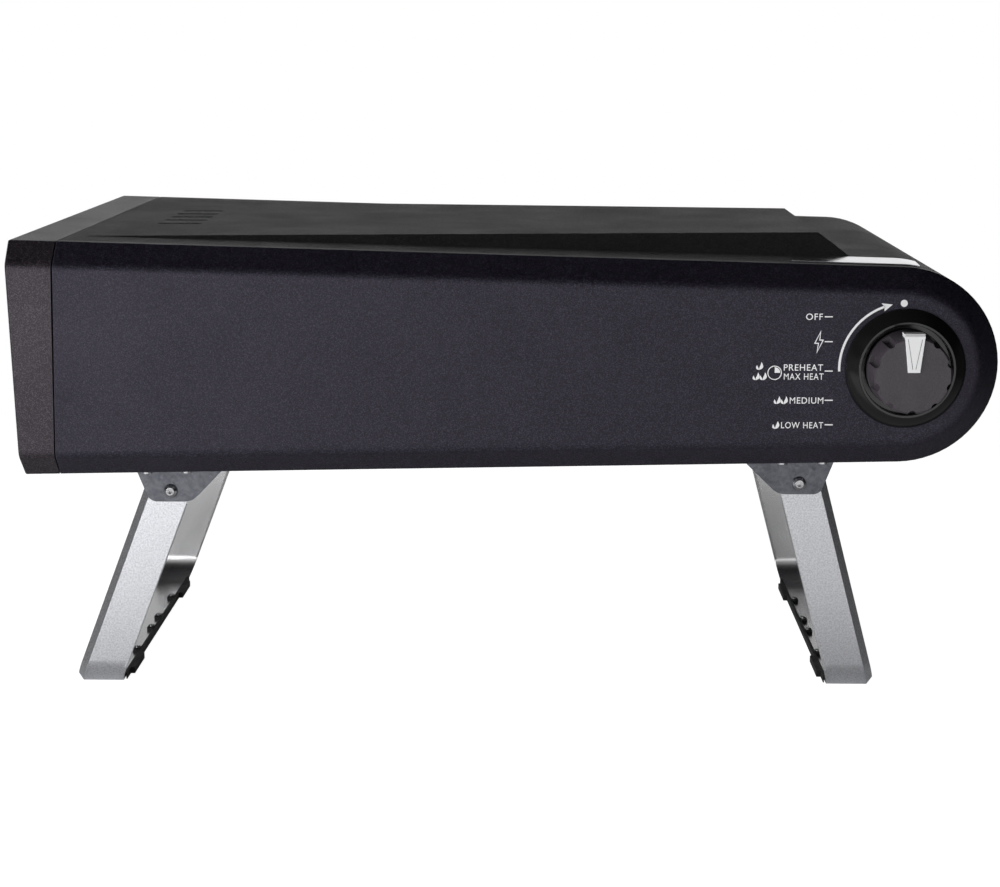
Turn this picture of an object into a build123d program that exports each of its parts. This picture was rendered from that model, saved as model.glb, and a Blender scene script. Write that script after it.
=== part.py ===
from build123d import *
import os
from math import asin, atan2, cos, hypot, sin, tan

# Countertop gas pizza oven with fold-away legs. Millimetres, +Z up.
# X runs from the mouth (-X) to the burner end (+X). The knob side faces -Y, the user's right.
# The origin is the middle of the oven's footprint, knob included, on the surface it stands on.

# ---- casing: side outline is two straight lines tangent to a half-round rear end
MID = 16.0              # y of the casing's middle plane
HALF_WIDTH = 200.0      # casing, from the middle plane to each flat side face
BEVEL = 14.0            # 45 degree bevel between the side faces and the top, rear and bottom
BEVEL_SHIFT = 2 - 2**0.5    # how much less a parallel inner bevel is, for each millimetre inwards
FACE_BLEND = 8.0        # rounding where the bevel meets the side face
END_R = 62.0
END_X, END_Z = 249.5, 226.0
FRONT_TOP = (-311.0, 304.0)
FRONT_BOTTOM = (-306.4, 153.8)
SEAM = (-280.6, -283.9)     # x of the joint line behind the front bezel, at its top and bottom
SEAM_GAP = 0.9
COVER_T = 1.5           # top cover and base pan sheet
PANEL_T = 2.5           # side panels and front bezel
LIP = 23.0              # how far a side panel's rim reaches in from its flat face
LIP_GAP = 0.6

# ---- raised panel pressed into the top cover
PLATEAU_FRONT = (-276.0, 147.0, 302.9)      # x, half width, z of its top face at the front
PLATEAU_REAR = (208.0, 99.0, 301.6)
PLATEAU_SIDE_RUN = 3.1      # sideways run of the side slopes for each millimetre of drop
PLATEAU_REAR_RUN = 1.3
VENT_COUNT = 5
VENT_SIZE = (31.0, 7.0)
VENT_X = -225.0
VENT_PITCH = 26.0
TRIM_T = 0.8
TRIM_PLAN = ((186.0, -123.0), (181.0, -159.8), (262.5, -159.8), (265.5, -123.0))

# ---- mouth and chamber
MOUTH_HALF = 167.0
MOUTH_LOW, MOUTH_HIGH = 174.0, 278.0
MOUTH_TOP_R, MOUTH_LOW_R = 20.0, 3.0
CHAMBER_FRONT = -278.5
LINER_INSET = 16.0      # from the casing's outline to the chamber roof
LINER_T = 1.0
LINER_HALF = 170.0
FLOOR_Z = 172.0
BAY_X = 194.0           # front of the valve bay
BAY_DEPTH = 110.0       # valve bay, in from the knob side face
RAIL_H = 4.0
STONE_FRONT, STONE_REAR = -225.0, 173.0
STONE_HALF = 164.0
STONE_T = 12.0
GUARD_X = 179.0

# ---- knob, valve and burner, all on one axis along Y
FACE_Y = MID - HALF_WIDTH
AXIS_X, AXIS_Z = 251.0, 226.2
BEZEL_R, COLLAR_R = 37.5, 28.5
COLLAR_H = 9.0
KNOB_FACE_R, KNOB_SKIRT_R = 23.7, 25.2
KNOB_BACK, KNOB_FRONT = 5.5, 31.0       # ahead of the side face
POINTER_PROUD = 1.0
SCALLOPS = 10
SCALLOP_R, SCALLOP_OUT = 2.8, 24.4      # cutter, and its distance from the axis
STEM_R = 3.0
VALVE_START, VALVE_LENGTH = 8.0, 42.0   # behind the side face
VALVE_R = 13.0
VALVE_INLET = 32.0      # gas inlet boss, behind the side face
BURNER_R = 12.0
BURNER_WALL = 1.0
BURNER_START, BURNER_LENGTH = 108.0, 250.0
PIPE_R = 4.0
PIPE_X, PIPE_Z = 220.0, 172.5
INLET_Y = -89.0
INLET_R = 6.58          # G 1/4 thread
INLET_LOW = 149.0
INLET_THREAD = 9.5      # length left free for the hose's union nut
INLET_NECK_R = 6.1      # through the pan and the locknut
INLET_CHAMFER = 0.6
PROBE_R = 3.0
IGNITER_XZ = (228.0, 250.0)
THERMOCOUPLE_XZ = (276.0, 238.0)
PIEZO_XZ = (212.0, 246.0)

# ---- leg frames, one bent strip each
LEG_HALF = 149.0        # to the outer face of an arm
LEG_T = 2.0
LEG_W = 32.0            # measured level, front to back
LEG_BEND = 18.0
LEG_BEVEL = 5.0
LEG_FOOT = 0.4          # underside of the crossbar, clear of the floor
LEG_FLANGE = 10.0
LEG_HEEL_GAP = 0.5
FRONT_LEG = {"pivot": (-219.0, 136.0), "inner": -258.3, "lean": 0.3855, "side": -1}
REAR_LEG = {"pivot": (193.0, 142.5), "inner": 217.2, "lean": 0.2640, "side": 1}
RUBBER_H = 4.4
RUBBER_PROUD = 0.9      # beyond the crossbar's inner edge
RUBBER_LAP = 1.2        # over the crossbar, and over it as tabs at the screws
TAB_LAP, TAB_LENGTH = 6.0, 10.0
RUBBER_HOLE_R = 1.25
RUBBER_SCREW_IN = 3.2   # from the crossbar's inner edge
RUBBER_SCREW_YS = (-70.0, -15.0, 15.0, 70.0)
RUBBER_HEAD_R, RUBBER_HEAD_H = 2.3, 1.4
PAD_PROUD = 2.6
PAD_LENGTH = 36.0
PAD_Y = 99.0
BRACKET_T = 2.0
BRACKET_FACE = 153.0    # from the middle plane to a bracket's outer face
BRACKET_FLANGE = 22.0
BRACKET_LOW = 7.2       # how far a bracket reaches below its pivot
BRACKET_OUTER = 13.8    # half widths of its lower edge, away from and towards the oven's middle
BRACKET_INNER = 13.9
PIVOT_R = 2.5
BUSH_R = 4.0
RUNNING_GAP = 0.06
SCREW_R = 2.0
SCREW_SPREAD = 13.0
SCREW_IN = 165.0        # bracket screws, from the middle plane

# ---- derived values
TOP_TILT = atan2(END_Z - FRONT_TOP[1], END_X - FRONT_TOP[0]) + asin(
    END_R / hypot(END_X - FRONT_TOP[0], END_Z - FRONT_TOP[1])
)
BOTTOM_TILT = atan2(END_Z - FRONT_BOTTOM[1], END_X - FRONT_BOTTOM[0]) - asin(
    END_R / hypot(END_X - FRONT_BOTTOM[0], END_Z - FRONT_BOTTOM[1])
)
CASE_FRONT = (SEAM[0] + SEAM_GAP / 2, SEAM[1] + SEAM_GAP / 2)
PAST_FRONT = (CASE_FRONT[0] - 20, CASE_FRONT[1] - 20)     # ahead of it, for cuts that run out through the front
COVER_HALF = HALF_WIDTH - LIP - LIP_GAP
BURNER_Y = FACE_Y + BURNER_START
BAY_WALL_Y = FACE_Y + BAY_DEPTH
STONE_LOW = FLOOR_Z + RAIL_H + 0.2
LEGS = {"front": FRONT_LEG, "rear": REAR_LEG}
BRACKET_SCREWS = [
    (leg["pivot"][0] + step * SCREW_SPREAD, MID + side * SCREW_IN)
    for leg in LEGS.values()
    for side in (-1, 1)
    for step in (-1, 1)
]


def top_z(x, inset=0.0):
    """Height of the casing's top line at x."""
    return END_Z + (END_R - inset) / cos(TOP_TILT) + (x - END_X) * tan(TOP_TILT)


def bottom_z(x, inset=0.0):
    """Height of the casing's bottom line at x."""
    return END_Z - (END_R - inset) / cos(BOTTOM_TILT) + (x - END_X) * tan(BOTTOM_TILT)


def case_block(inset, front, half_width, bevel=0.0, blend=False):
    """A solid block with the casing's side outline, inset, between two widths."""
    r = END_R - inset
    with BuildPart() as block:
        with BuildSketch(Plane.XZ.offset(half_width - MID)):
            with BuildLine():
                top = Line(
                    (front[0], top_z(front[0], inset)),
                    (END_X - r * sin(TOP_TILT), END_Z + r * cos(TOP_TILT)),
                )
                end = ThreePointArc(
                    top @ 1,
                    (END_X + r, END_Z),
                    (END_X + r * sin(BOTTOM_TILT), END_Z - r * cos(BOTTOM_TILT)),
                )
                low = Line(end @ 1, (front[1], bottom_z(front[1], inset)))
                Line(low @ 1, top @ 0)
            make_face()
        extrude(amount=-2 * half_width)
        if bevel > 0:
            sides = block.faces().sort_by(Axis.Y)
            rims = sides[0].edges().sort_by(Axis.X)[1:] + sides[-1].edges().sort_by(Axis.X)[1:]
            chamfer(rims, length=bevel)
        if blend:
            sides = block.faces().filter_by(Axis.Y).sort_by(Axis.Y)
            rims = sides[0].edges().sort_by(Axis.X)[1:] + sides[-1].edges().sort_by(Axis.X)[1:]
            fillet(rims, radius=FACE_BLEND)
    return block.part


def plateau_block(inset):
    """The raised panel of the top, as a block bounded by its top and sloping sides."""
    x0, half0, z0 = PLATEAU_FRONT
    x1, half1, z1 = PLATEAU_REAR
    edge = Vector(x1 - x0, half0 - half1, z1 - z0)
    slopes = [
        (Vector(x0, MID, z0), Vector(0, 1, 0), edge.cross(Vector(0, 1, 0)) * -1),
        (Vector(x0, MID - half0, z0), edge, Vector(0, -PLATEAU_SIDE_RUN, -1).cross(edge)),
        (
            Vector(x0, MID + half0, z0),
            Vector(edge.X, -edge.Y, edge.Z),
            Vector(edge.X, -edge.Y, edge.Z).cross(Vector(0, PLATEAU_SIDE_RUN, -1)),
        ),
        (Vector(x1, MID, z1), Vector(0, 1, 0), Vector(1, 0, PLATEAU_REAR_RUN)),
    ]
    with BuildPart() as block:
        with Locations((-20, MID, 290)):
            Box(600, 2 * COVER_HALF, 40)
        for point, along, outward in slopes:
            normal = outward.normalized()
            if normal.Z < 0:
                normal = normal * -1
            split(bisect_by=Plane(point - normal * inset, x_dir=along, z_dir=normal), keep=Keep.BOTTOM)
    return block.part


def finish(builder, label):
    """Name a finished piece and write it."""
    builder.part.label = label
    export_step(builder.part, f"parts/{label}.step")


os.makedirs("parts", exist_ok=True)

# =============================================================== outer casing
outer_block = case_block(0, CASE_FRONT, HALF_WIDTH, BEVEL, blend=True)
panel_void = case_block(
    PANEL_T, PAST_FRONT, HALF_WIDTH - PANEL_T, BEVEL - BEVEL_SHIFT * PANEL_T
)
cover_block = case_block(0, CASE_FRONT, COVER_HALF)
cover_void = case_block(COVER_T, PAST_FRONT, COVER_HALF + 10)


def side_panel(side):
    """Side panel: flat face, bevel and rim lip in one; side is -1 for the knob side."""
    with BuildPart() as panel:
        add(outer_block)
        add(panel_void, mode=Mode.SUBTRACT)
        cut = Plane.XZ.offset(-MID - side * (HALF_WIDTH - LIP))
        split(bisect_by=cut, keep=Keep.TOP if side < 0 else Keep.BOTTOM)
        if side < 0:
            with BuildSketch(Plane.XZ.offset(-FACE_Y + 1)):
                with Locations((AXIS_X, AXIS_Z)):
                    Circle(8.0)
            extrude(amount=-10, mode=Mode.SUBTRACT)
    return panel


side_panel_right = side_panel(-1)
finish(side_panel_right, "side_panel_right")
side_panel_left = side_panel(1)
finish(side_panel_left, "side_panel_left")

with BuildPart() as top_cover:
    add(cover_block)
    add(plateau_block(0))
    add(cover_void, mode=Mode.SUBTRACT)
    add(plateau_block(COVER_T), mode=Mode.SUBTRACT)
    # the base pan closes the underside up to the half-round end
    with Locations((END_X - 500, MID, 150)):
        Box(1000, 500, 100, mode=Mode.SUBTRACT)
    # nothing of the raised panel stands ahead of the joint line
    with BuildSketch(Plane.XZ.offset(COVER_HALF - MID + 1)):
        Polygon(
            (CASE_FRONT[0], 310),
            (CASE_FRONT[1], bottom_z(CASE_FRONT[1])),
            (-360, bottom_z(CASE_FRONT[1])),
            (-360, 310),
            align=None,
        )
    extrude(amount=-2 * COVER_HALF - 2, mode=Mode.SUBTRACT)
    # cooling slots near the front
    with BuildSketch(Plane.XY.offset(295)):
        with Locations((VENT_X, MID)):
            with GridLocations(0, VENT_PITCH, 1, VENT_COUNT):
                SlotOverall(*VENT_SIZE)
    extrude(amount=20, mode=Mode.SUBTRACT)
finish(top_cover, "top_cover")

with BuildPart() as base_pan:
    add(cover_block)
    add(cover_void, mode=Mode.SUBTRACT)
    with Locations((END_X - LIP_GAP + 500, MID, 250)):
        Box(1000, 500, 400, mode=Mode.SUBTRACT)
    with Locations((0, MID, 300)):
        Box(1000, 500, 200, mode=Mode.SUBTRACT)
    # upturned flanges beside the rims of the side panels
    for side in (-1, 1):
        with BuildSketch(Plane.XZ.offset(-MID - side * (COVER_HALF - (1 - side) / 2 * COVER_T))):
            Polygon(
                (CASE_FRONT[1], bottom_z(CASE_FRONT[1], COVER_T)),
                (END_X - LIP_GAP, bottom_z(END_X - LIP_GAP, COVER_T)),
                (END_X - LIP_GAP, bottom_z(END_X - LIP_GAP, COVER_T) + 12),
                (CASE_FRONT[1], bottom_z(CASE_FRONT[1], COVER_T) + 12),
                align=None,
            )
        extrude(amount=COVER_T)
    # air slots under the valve bay and the hole for the gas inlet
    with BuildSketch(Plane.XY.offset(150)):
        with Locations((212, MID - 150)):
            with GridLocations(8, 0, 4, 1):
                SlotOverall(30, 3.5, rotation=90)
        with Locations((PIPE_X, INLET_Y)):
            Circle(INLET_R + 1.2)
        with Locations(*BRACKET_SCREWS):
            Circle(SCREW_R + 0.1)
    extrude(amount=30, mode=Mode.SUBTRACT)
finish(base_pan, "base_pan")

bezel_block = case_block(0, (FRONT_TOP[0], FRONT_BOTTOM[0]), HALF_WIDTH, BEVEL, blend=True)
bezel_void = case_block(
    PANEL_T,
    (FRONT_TOP[0] + PANEL_T, FRONT_BOTTOM[0] + PANEL_T),
    HALF_WIDTH - PANEL_T,
    BEVEL - BEVEL_SHIFT * PANEL_T,
)
behind_seam = case_block(-6, (SEAM[0] - SEAM_GAP / 2, SEAM[1] - SEAM_GAP / 2), HALF_WIDTH + 6)


def mouth_outline(grow):
    """Mouth opening as a sketch in y and z, grown outwards."""
    half = MOUTH_HALF + grow
    low, high = MOUTH_LOW - grow, MOUTH_HIGH + grow
    with BuildSketch() as outline:
        with BuildLine():
            FilletPolyline(
                (MID - half, low),
                (MID + half, low),
                (MID + half, high),
                (MID - half, high),
                radius=[MOUTH_LOW_R, MOUTH_LOW_R, MOUTH_TOP_R + grow, MOUTH_TOP_R + grow],
                close=True,
            )
        make_face()
    return outline.sketch


mouth_tube = mouth_outline(PANEL_T)
mouth_hole = mouth_outline(0)

with BuildPart() as rounded_bezel:
    add(bezel_block)
    fillet(rounded_bezel.faces().sort_by(Axis.X)[0].edges(), radius=1.5)

with BuildPart() as front_bezel:
    add(rounded_bezel.part)
    add(bezel_void, mode=Mode.SUBTRACT)
    add(behind_seam, mode=Mode.SUBTRACT)
    with BuildSketch(Plane.YZ.offset(FRONT_BOTTOM[0] + 1)):
        add(mouth_tube)
    extrude(amount=CHAMBER_FRONT - 0.5 - FRONT_BOTTOM[0] - 1)
    with BuildSketch(Plane.YZ.offset(FRONT_TOP[0] - 10)):
        add(mouth_hole)
    extrude(amount=60, mode=Mode.SUBTRACT)
finish(front_bezel, "front_bezel")

# a plain bright strip on the ledge beside the raised panel, bent down over the rear
strip_skin = case_block(-TRIM_T, CASE_FRONT, COVER_HALF)
with BuildPart() as trim_strip:
    add(strip_skin)
    add(case_block(0, PAST_FRONT, COVER_HALF + 10), mode=Mode.SUBTRACT)
    with BuildSketch(Plane.XY.offset(250)):
        Polygon(*TRIM_PLAN, align=None)
    extrude(amount=60, mode=Mode.INTERSECT)
finish(trim_strip, "trim_strip")

# =============================================================== chamber linings


def room_block(inset, front, floor, near, far):
    """A block inside the casing: roof and rear follow the outline, then floor points (x, z)."""
    r = END_R - inset
    with BuildPart() as block:
        with BuildSketch(Plane.XZ.offset(-near)):
            with BuildLine():
                top = Line(
                    (front, top_z(front, inset)),
                    (END_X - r * sin(TOP_TILT), END_Z + r * cos(TOP_TILT)),
                )
                end = ThreePointArc(top @ 1, (END_X + r, END_Z), (END_X, END_Z - r))
                Polyline(end @ 1, *floor, top @ 0)
            make_face()
        extrude(amount=near - far)
    return block.part


def wrap(outer_inset, inner_inset, half_width):
    """A sheet that runs along the top and round the rear end, between two insets."""
    ahead = CHAMBER_FRONT - 20
    shell = case_block(outer_inset, (CHAMBER_FRONT, CHAMBER_FRONT), half_width)
    void = case_block(inner_inset, (ahead, ahead), half_width + 10)
    with BuildPart() as sheet:
        add(shell)
        add(void, mode=Mode.SUBTRACT)
        with Locations((END_X - 500, MID, 150)):
            Box(1000, 500, 100, mode=Mode.SUBTRACT)
    return sheet


oven_roof = wrap(LINER_INSET, LINER_INSET + LINER_T, LINER_HALF)
finish(oven_roof, "oven_roof")

insulation_roof = wrap(COVER_T + 0.6, LINER_INSET - 0.4, LINER_HALF - 1)
finish(insulation_roof, "insulation_roof")

wall_inset = LINER_INSET + LINER_T + 0.3
side_gap = 0.2
chamber_floor = (
    (END_X - 1, FLOOR_Z + 8),
    (BAY_X, FLOOR_Z - LINER_T),
    (CHAMBER_FRONT, FLOOR_Z - LINER_T),
)
far_face = MID + LINER_HALF - side_gap
near_face = MID - LINER_HALF + side_gap

with BuildPart() as side_liner_left:
    add(room_block(wall_inset, CHAMBER_FRONT, chamber_floor, far_face - LINER_T, far_face))
finish(side_liner_left, "side_liner_left")

with BuildPart() as side_liner_right:
    add(room_block(wall_inset, CHAMBER_FRONT, chamber_floor, near_face, near_face + LINER_T))
    split(bisect_by=Plane.YZ.offset(BAY_X - 0.3), keep=Keep.BOTTOM)
finish(side_liner_right, "side_liner_right")

floor_half = LINER_HALF - side_gap - LINER_T - 0.2
with BuildPart() as floor_tray:
    with BuildSketch(Plane.XZ.offset(floor_half - MID)):
        with BuildLine():
            FilletPolyline(
                (CHAMBER_FRONT, FLOOR_Z),
                (BAY_X + 3, FLOOR_Z),
                (END_X - 0.4, FLOOR_Z + 9),
                radius=10,
            )
            offset(amount=LINER_T, side=Side.RIGHT, closed=True)
        make_face()
    extrude(amount=-2 * floor_half)
    # open over the valve bay
    with Locations((BAY_X + 100, BAY_WALL_Y - 100, FLOOR_Z)):
        Box(200, 202.6, 60, mode=Mode.SUBTRACT)
finish(floor_tray, "floor_tray")

bay_t = 1.2
bay_low = 167.0
bay_outside = room_block(
    wall_inset, BAY_X, ((END_X - 1, bay_low), (BAY_X, bay_low)), near_face + LINER_T + 0.2, BAY_WALL_Y
)
bay_inside = room_block(
    wall_inset - 5,
    BAY_X + bay_t,
    ((END_X - 1, bay_low - 5), (BAY_X + bay_t, bay_low - 5)),
    near_face - 5,
    BAY_WALL_Y - bay_t,
)
with BuildPart() as bay_wall:
    add(bay_outside)
    add(bay_inside, mode=Mode.SUBTRACT)
    # hole for the burner tube, and for the igniter and thermocouple above and behind it
    with BuildSketch(Plane.XZ.offset(-BAY_WALL_Y - 5)):
        with Locations((AXIS_X, AXIS_Z)):
            Circle(BURNER_R + 0.4)
        with Locations(IGNITER_XZ, THERMOCOUPLE_XZ):
            Circle(PROBE_R + 0.3)
    extrude(amount=10, mode=Mode.SUBTRACT)
finish(bay_wall, "bay_wall")

for_side = {"right": (MID - 184, MID - 171, BAY_X - 3), "left": (MID + 171, MID + 184, END_X + 36)}
blanket_floor = (
    (END_X - 1, FLOOR_Z + 11),
    (BAY_X, FLOOR_Z + 7),
    (CHAMBER_FRONT + 1, FLOOR_Z + 7),
)
for name, (near, far, rear) in for_side.items():
    with BuildPart() as blanket:
        add(room_block(LINER_INSET + 1, CHAMBER_FRONT + 1, blanket_floor, near, far))
        split(bisect_by=Plane.YZ.offset(rear), keep=Keep.BOTTOM)
    finish(blanket, f"insulation_{name}")

with BuildPart() as stone_rails:
    with Locations(((STONE_FRONT + STONE_REAR) / 2, MID, FLOOR_Z + RAIL_H / 2)):
        with GridLocations(0, STONE_HALF - 24, 1, 3):
            Box(STONE_REAR - STONE_FRONT, 10, RAIL_H)
    fillet(stone_rails.edges().filter_by(Axis.X).group_by(Axis.Z)[-1], radius=1.2)
finish(stone_rails, "stone_rails")

with BuildPart() as baking_stone:
    with Locations(((STONE_FRONT + STONE_REAR) / 2, MID, STONE_LOW + STONE_T / 2)):
        Box(STONE_REAR - STONE_FRONT, 2 * STONE_HALF, STONE_T)
    fillet(baking_stone.edges().filter_by(Axis.Z), radius=8)
    chamfer(baking_stone.faces().sort_by(Axis.Z)[-1].edges(), length=1.5)
finish(baking_stone, "baking_stone")

with BuildPart() as flame_guard:
    with Locations((GUARD_X + LINER_T / 2, MID, FLOOR_Z + 17)):
        Box(LINER_T, 2 * floor_half, 34)
    with Locations((GUARD_X + 5, MID, FLOOR_Z + LINER_T / 2)):
        Box(10, 2 * floor_half, LINER_T)
    with BuildSketch(Plane.YZ.offset(GUARD_X - 5)):
        with Locations((MID, FLOOR_Z + 22)):
            with GridLocations(22, 0, 14, 1):
                SlotOverall(14, 4)
    extrude(amount=12, mode=Mode.SUBTRACT)
finish(flame_guard, "flame_guard")

# =============================================================== burner and gas parts
KNOB_AXIS = Axis((AXIS_X, FACE_Y, AXIS_Z), (0, 1, 0))
TURNING_PLANE = Plane(origin=(AXIS_X, FACE_Y, AXIS_Z), x_dir=(1, 0, 0), z_dir=(0, 0, 1))


def turned(*points):
    """A solid turned about the knob axis, from (radius, depth behind the side face) points."""
    with BuildPart() as piece:
        with BuildSketch(TURNING_PLANE):
            with BuildLine():
                Polyline(*points, close=True)
            make_face()
        revolve(axis=KNOB_AXIS)
    return piece.part


def across(depth):
    """Plane parallel to the side face, its origin on the knob axis, facing the user."""
    return Plane(origin=(AXIS_X, FACE_Y + depth, AXIS_Z), x_dir=(1, 0, 0), z_dir=(0, -1, 0))


inner_r = BURNER_R - BURNER_WALL
burner_end = BURNER_START + BURNER_LENGTH
with BuildPart() as burner_tube:
    add(
        turned(
            (inner_r, BURNER_START),
            (BURNER_R, BURNER_START),
            (BURNER_R, burner_end),
            (0, burner_end),
            (0, burner_end - 2),
            (inner_r, burner_end - 2),
        )
    )
    # flame ports in a double row, facing up and towards the stone
    for tilt in (20, 45):
        port_plane = Plane(
            origin=(AXIS_X, BURNER_Y + 10 + BURNER_LENGTH / 2, AXIS_Z),
            x_dir=(0, 1, 0),
            z_dir=(Vector(0, 0, 1).rotate(Axis.Y, -tilt)),
        )
        with BuildSketch(port_plane):
            with GridLocations(9, 0, 22, 1):
                SlotOverall(6, 1.8)
        extrude(amount=BURNER_R + 2, mode=Mode.SUBTRACT)
finish(burner_tube, "burner_tube")

with BuildPart() as venturi:
    bell = BURNER_START - 42
    add(
        turned(
            (13.0, bell),
            (14.0, bell),
            (14.0, bell + 12),
            (8.5, bell + 22),
            (inner_r - 0.1, BURNER_START - 4),
            (inner_r - 0.1, BURNER_START + 8),
            (inner_r - 1.1, BURNER_START + 8),
            (inner_r - 1.1, BURNER_START - 4),
            (7.5, bell + 22),
            (13.0, bell + 12),
        )
    )
    with BuildSketch(across(bell + 6)):
        with PolarLocations(14, 4):
            Rectangle(8, 8)
    extrude(amount=3, both=True, mode=Mode.SUBTRACT)
finish(venturi, "venturi")

with BuildPart() as air_shutter:
    add(turned((14.1, bell + 1), (15.1, bell + 1), (15.1, bell + 11), (14.1, bell + 11)))
    with BuildSketch(across(bell + 6)):
        with PolarLocations(14.6, 4, start_angle=20):
            Rectangle(6, 8)
    extrude(amount=2.5, both=True, mode=Mode.SUBTRACT)
finish(air_shutter, "air_shutter")

with BuildPart() as burner_hanger:
    hanger_y = FACE_Y + burner_end - 20
    hanger_top = END_Z + END_R - wall_inset - 1.5
    with BuildSketch(Plane.XZ.offset(-hanger_y)):
        with Locations((AXIS_X, AXIS_Z)):
            Circle(BURNER_R + 4)
        with Locations((AXIS_X, (AXIS_Z + hanger_top) / 2)):
            Rectangle(16, hanger_top - AXIS_Z)
        with Locations((AXIS_X, AXIS_Z)):
            Circle(BURNER_R + 0.1, mode=Mode.SUBTRACT)
    extrude(amount=1.5)
finish(burner_hanger, "burner_hanger")

valve_end = VALVE_START + VALVE_LENGTH
plunger_r = 6.0
with BuildPart() as valve_body:
    add(
        turned(
            (plunger_r + RUNNING_GAP, VALVE_START - 2),
            (9.0, VALVE_START - 2),
            (9.0, VALVE_START + 5),
            (VALVE_R, VALVE_START + 5),
            (VALVE_R, valve_end - 6),
            (8.0, valve_end - 6),
            (8.0, valve_end),
            (4.0, valve_end),
            (4.0, valve_end - 8),
            (STEM_R + RUNNING_GAP, valve_end - 14),
            (STEM_R + RUNNING_GAP, VALVE_START + 12),
            (plunger_r + RUNNING_GAP, VALVE_START + 12),
        )
    )
    # gas inlet boss, square to the stem
    with BuildSketch(Plane(origin=(AXIS_X - VALVE_R + 3, FACE_Y + VALVE_INLET, AXIS_Z), z_dir=(-1, 0, 0))):
        RegularPolygon(7.5, 6)
    extrude(amount=12)
    with BuildSketch(Plane(origin=(AXIS_X - VALVE_R - 9, FACE_Y + VALVE_INLET, AXIS_Z), z_dir=(1, 0, 0))):
        Circle(PIPE_R + 0.1)
    extrude(amount=8, mode=Mode.SUBTRACT)
finish(valve_body, "valve_body")

with BuildPart() as gas_jet:
    with BuildSketch(across(valve_end)):
        Circle(3.9)
        Circle(0.5, mode=Mode.SUBTRACT)
    extrude(amount=6)
    with BuildSketch(across(valve_end + 5)):
        RegularPolygon(6.5, 6)
        Circle(0.5, mode=Mode.SUBTRACT)
    extrude(amount=5)
    with BuildSketch(across(valve_end + 12)):
        Circle(4.0)
        Circle(0.5, mode=Mode.SUBTRACT)
    extrude(amount=7)
finish(gas_jet, "gas_jet")

with BuildPart() as valve_bracket:
    with BuildSketch(across(VALVE_START + 2)):
        RectangleRounded(44, 52, 4)
        Circle(9.1, mode=Mode.SUBTRACT)
        with GridLocations(30, 38, 2, 2):
            Circle(2.1, mode=Mode.SUBTRACT)
    extrude(amount=2)
    with BuildSketch(across(VALVE_START)):
        with GridLocations(30, 38, 2, 2):
            Circle(4.0)
            Circle(2.1, mode=Mode.SUBTRACT)
    extrude(amount=VALVE_START - PANEL_T)
finish(valve_bracket, "valve_bracket")

with BuildPart() as valve_screws:
    with BuildSketch(across(VALVE_START + 4.2)):
        with GridLocations(30, 38, 2, 2):
            Circle(3.5)
    extrude(amount=2.2)
    with BuildSketch(across(VALVE_START + 2)):
        with GridLocations(30, 38, 2, 2):
            Circle(2.0)
    extrude(amount=VALVE_START - PANEL_T + 2)
finish(valve_screws, "valve_screws")

with BuildPart() as valve_plunger:
    add(
        turned(
            (STEM_R + RUNNING_GAP, VALVE_START - 3),
            (plunger_r, VALVE_START - 3),
            (plunger_r, VALVE_START + 2),
            (STEM_R + RUNNING_GAP, VALVE_START + 2),
        )
    )
finish(valve_plunger, "valve_plunger")

with BuildPart() as valve_spring:
    spring_start, spring_end = VALVE_START + 2.5, VALVE_START + 11.5
    with BuildLine():
        coil = Helix(
            pitch=(spring_end - spring_start) / 4,
            height=spring_end - spring_start,
            radius=4.5,
            center=(AXIS_X, FACE_Y + spring_start, AXIS_Z),
            direction=(0, 1, 0),
        )
    with BuildSketch(Plane(origin=coil @ 0, z_dir=coil % 0)):
        Circle(0.35)
    sweep(path=coil, is_frenet=True)
finish(valve_spring, "valve_spring")

with BuildPart() as valve_stem:
    add(turned((0, -24), (STEM_R, -24), (STEM_R, 32), (0, 32)))
    # a flat for the knob's hub
    with Locations((AXIS_X, FACE_Y - 15, AXIS_Z - STEM_R - 1.3)):
        Box(8, 18, 4, mode=Mode.SUBTRACT)
    # collar that the plunger bears on
    add(turned((0, VALVE_START - 5), (5.0, VALVE_START - 5), (5.0, VALVE_START - 3.1), (0, VALVE_START - 3.1)))
finish(valve_stem, "valve_stem")

# knob: scalloped grip with a hub on the stem and a pointer let into its face
pointer_plan = ((-3.75, 2.0), (3.75, 2.0), (6.5, 26.0), (-6.5, 26.0))
pointer_lip = ((-6.16, 23.0), (6.16, 23.0), (6.5, 26.0), (-6.5, 26.0))
pointer_slot, lip_slot = 3.0, 9.0       # how deep each is let in behind the face
pointer_fit = 0.1
with BuildPart() as knob:
    add(
        turned(
            (STEM_R + 0.02, -24.2),
            (STEM_R + 0.02, -KNOB_BACK - 1),
            (6.5, -KNOB_BACK - 1),
            (6.5, -26.5),
            (19.6, -26.5),
            (20.8, -KNOB_BACK),
            (KNOB_SKIRT_R, -KNOB_BACK),
            (KNOB_FACE_R + 0.2, -KNOB_FRONT + 1.6),
            (KNOB_FACE_R - 1.0, -KNOB_FRONT),
            (0, -KNOB_FRONT),
            (0, -24.2),
        )
    )
    with BuildSketch(across(-KNOB_FRONT - 1)):
        # none at the top, where the pointer is
        pitch = 360 / SCALLOPS
        with PolarLocations(SCALLOP_OUT, SCALLOPS - 1, start_angle=90 + pitch, angular_range=360 - pitch):
            Circle(SCALLOP_R)
    extrude(amount=-22, mode=Mode.SUBTRACT)
    for outline, slot in ((pointer_plan, pointer_slot), (pointer_lip, lip_slot)):
        with BuildSketch(across(-KNOB_FRONT - 1)):
            Polygon(*outline, align=None)
        extrude(amount=-1 - slot, mode=Mode.SUBTRACT)
finish(knob, "knob")

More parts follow.
